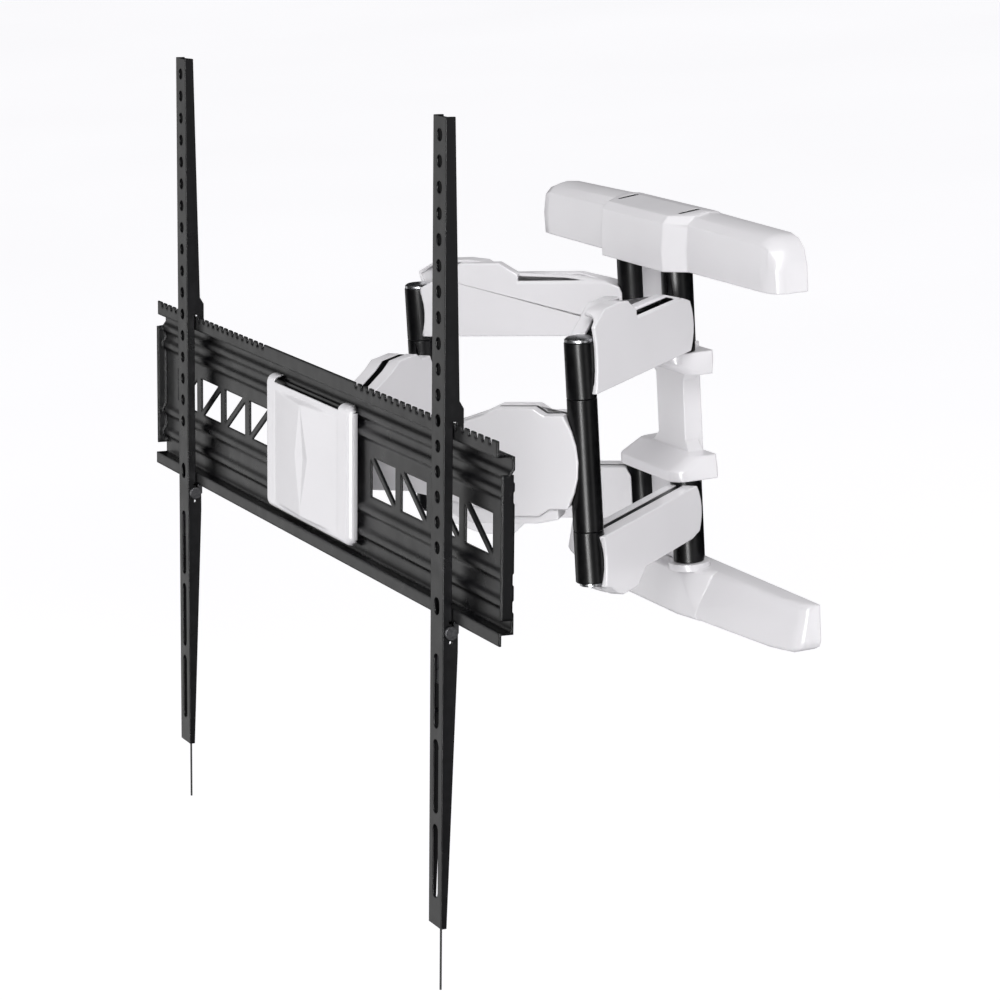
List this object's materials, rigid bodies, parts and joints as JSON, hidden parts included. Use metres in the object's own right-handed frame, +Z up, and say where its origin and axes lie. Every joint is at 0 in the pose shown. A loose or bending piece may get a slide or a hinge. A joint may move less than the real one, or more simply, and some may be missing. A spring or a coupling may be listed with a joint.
{
  "type": "full motion tv wall mount",
  "caption": "Full motion TV wall mount: covered wall bracket, two folding double-link arms, tilting plate with two vertical VESA rails",
  "frame": {"origin": "centre of the wall plate's back face, on the wall surface", "axes": "+X to the right along the wall seen from the room, +Y into the wall, +Z up; the TV side is -Y"},
  "size_m": [0.808, 0.3932, 0.6928],
  "materials": {
    "white_cover": "smooth white moulded plastic",
    "black_steel": "black powder coat, fine satin",
    "gloss_black": "smooth semi-gloss black",
    "zinc": "bright zinc plate",
    "cord": "braided black cord"
  },
  "bodies": {
    "wall": {"bottom_cover": "white_cover", "bracket_bolt_lower_left": "zinc", "bracket_bolt_lower_right": "zinc", "bracket_bolt_upper_left": "zinc", "bracket_bolt_upper_right": "zinc", "column_cover": "white_cover", "pivot_bracket_lower": "black_steel", "pivot_bracket_upper": "black_steel", "top_cover": "white_cover", "wall_pin_lower_left": "zinc", "wall_pin_lower_right": "zinc", "wall_pin_upper_left": "zinc", "wall_pin_upper_right": "zinc", "wall_plate": "black_steel"},
    "rear_arm_right": {"right_elbow_cap": "zinc", "right_elbow_pin": "zinc", "right_rear_arm_lower": "gloss_black", "right_rear_arm_upper": "gloss_black", "right_rear_cover_lower_inner": "white_cover", "right_rear_cover_lower_outer": "white_cover", "right_rear_cover_upper_inner": "white_cover", "right_rear_cover_upper_outer": "white_cover"},
    "rear_arm_left": {"left_elbow_cap": "zinc", "left_elbow_pin": "zinc", "left_rear_arm_lower": "gloss_black", "left_rear_arm_upper": "gloss_black", "left_rear_cover_lower_inner": "white_cover", "left_rear_cover_lower_outer": "white_cover", "left_rear_cover_upper_inner": "white_cover", "left_rear_cover_upper_outer": "white_cover"},
    "forearm_right": {"right_cable_channel": "white_cover", "right_forearm": "gloss_black", "right_forearm_cover_inner": "white_cover", "right_forearm_cover_outer": "white_cover"},
    "forearm_left": {"left_cable_channel": "white_cover", "left_forearm": "gloss_black", "left_forearm_cover_inner": "white_cover", "left_forearm_cover_outer": "white_cover"},
    "head": {"head_pin_left": "zinc", "head_pin_right": "zinc", "head_yoke": "black_steel", "tilt_bolt_left": "zinc", "tilt_bolt_right": "zinc"},
    "plate": {"head_cover": "white_cover", "lock_screw_left": "zinc", "lock_screw_right": "zinc", "rail_left": "black_steel", "rail_right": "black_steel", "tv_plate": "black_steel"},
    "latch_right_body": {"latch_right": "zinc", "pull_cord_right": "cord"},
    "latch_left_body": {"latch_left": "zinc", "pull_cord_left": "cord"}
  },
  "joints": [
    {"name": "rear_fold_right", "type": "hinge", "parent": "wall", "child": "rear_arm_right", "pos_m": [0.044, -0.028, 0], "axis": [0, 0, 1], "range_deg": [-34.5, 35.5]},
    {"name": "elbow_right", "type": "hinge", "parent": "rear_arm_right", "child": "forearm_right", "pos_m": [0.17122, -0.18232, 0], "axis": [0, 0, 1], "range_deg": [-71, 69]},
    {"name": "head_yaw", "type": "hinge", "parent": "forearm_right", "child": "head", "pos_m": [0.044, -0.33665, 0], "axis": [0, 0, 1], "range_deg": [-34.5, 35.5]},
    {"name": "rear_fold_left", "type": "hinge", "parent": "wall", "child": "rear_arm_left", "pos_m": [-0.044, -0.028, 0], "axis": [0, 0, 1], "range_deg": [-35.5, 34.5]},
    {"name": "elbow_left", "type": "hinge", "parent": "rear_arm_left", "child": "forearm_left", "pos_m": [-0.17122, -0.18232, 0], "axis": [0, 0, 1], "range_deg": [-69, 71]},
    {"name": "tilt", "type": "hinge", "parent": "head", "child": "plate", "pos_m": [0, -0.35265, 0], "axis": [1, 0, 0], "range_deg": [-1, 19]},
    {"name": "latch_slide_right", "type": "slide", "parent": "plate", "child": "latch_right_body", "axis": [0, -0.0698, -0.9976], "range_m": [0, 0.012], "stiffness_N_per_m": 300, "springref_m": -0.004},
    {"name": "latch_slide_left", "type": "slide", "parent": "plate", "child": "latch_left_body", "axis": [0, -0.0698, -0.9976], "range_m": [0, 0.012], "stiffness_N_per_m": 300, "springref_m": -0.004}
  ],
  "couplings": [
    {"joint": "elbow_right", "follows": "rear_fold_right", "ratio": -2},
    {"joint": "head_yaw", "follows": "rear_fold_right", "ratio": 1},
    {"joint": "rear_fold_left", "follows": "rear_fold_right", "ratio": -1},
    {"joint": "elbow_left", "follows": "rear_fold_right", "ratio": 2}
  ]
}
